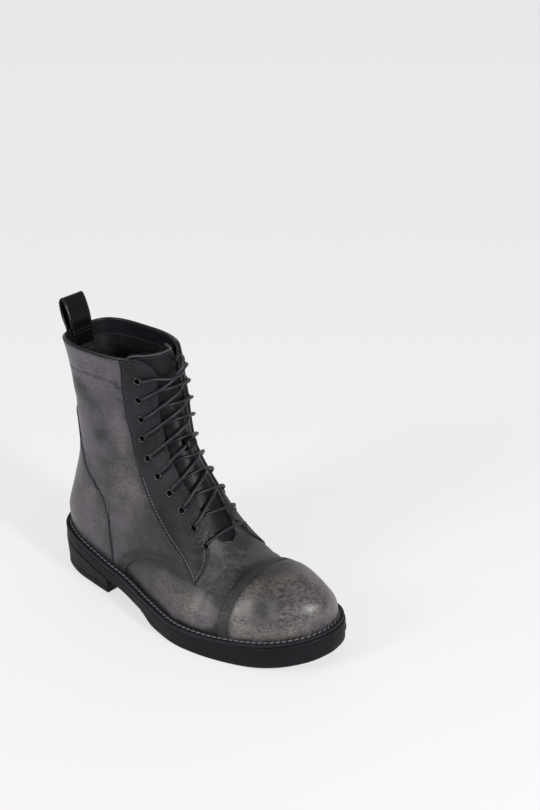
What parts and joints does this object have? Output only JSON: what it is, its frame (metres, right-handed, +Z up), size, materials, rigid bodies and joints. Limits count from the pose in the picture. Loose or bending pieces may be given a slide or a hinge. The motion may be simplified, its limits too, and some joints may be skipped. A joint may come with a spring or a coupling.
{
  "type": "biker boot",
  "caption": "Laced leather biker boot for the right foot, with toe cap, heel counter, pull loop, low stacked heel and an open collar and throat over a tongue.",
  "frame": {"origin": "on the floor under the middle of the sole's box", "axes": "+X to the toe, +Y to the inner side of the foot, +Z up"},
  "size_m": [0.3072, 0.1208, 0.2544],
  "materials": {
    "worn_leather": "charcoal grey leather with a rubbed, distressed surface",
    "dark_leather": "smooth dark leather of the facing and tongue",
    "patent_leather": "glossy black strap leather",
    "sole_rubber": "near-black rubber, satin",
    "insole_leather": "plain black insole leather",
    "eyelet_metal": "blackened metal",
    "waxed_cord": "round black waxed cord"
  },
  "bodies": {
    "root": {"welt": "sole_rubber", "midsole": "sole_rubber", "outsole": "sole_rubber", "heel_block": "sole_rubber", "heel_top_piece": "sole_rubber", "insole": "insole_leather", "upper": "worn_leather", "tongue": "dark_leather", "toe_cap": "worn_leather", "heel_counter": "worn_leather", "cuff": "worn_leather", "quarter_lateral": "worn_leather", "quarter_medial": "worn_leather", "facing_lateral": "dark_leather", "facing_medial": "dark_leather", "pull_loop": "patent_leather", "tongue_loop": "dark_leather", "eyelet_lateral_01": "eyelet_metal", "eyelet_lateral_02": "eyelet_metal", "eyelet_lateral_03": "eyelet_metal", "eyelet_lateral_04": "eyelet_metal", "eyelet_lateral_05": "eyelet_metal", "eyelet_lateral_06": "eyelet_metal", "eyelet_lateral_07": "eyelet_metal", "eyelet_lateral_08": "eyelet_metal", "eyelet_lateral_09": "eyelet_metal", "eyelet_lateral_10": "eyelet_metal", "eyelet_medial_01": "eyelet_metal", "eyelet_medial_02": "eyelet_metal", "eyelet_medial_03": "eyelet_metal", "eyelet_medial_04": "eyelet_metal", "eyelet_medial_05": "eyelet_metal", "eyelet_medial_06": "eyelet_metal", "eyelet_medial_07": "eyelet_metal", "eyelet_medial_08": "eyelet_metal", "eyelet_medial_09": "eyelet_metal", "eyelet_medial_10": "eyelet_metal", "lace_bar_top": "waxed_cord", "lace_bar_bottom": "waxed_cord", "lace_cross_01": "waxed_cord", "lace_cross_02": "waxed_cord", "lace_cross_03": "waxed_cord", "lace_cross_04": "waxed_cord", "lace_cross_05": "waxed_cord", "lace_cross_06": "waxed_cord", "lace_cross_07": "waxed_cord", "lace_cross_08": "waxed_cord", "lace_end_loop": "waxed_cord"}
  },
  "joints": []
}
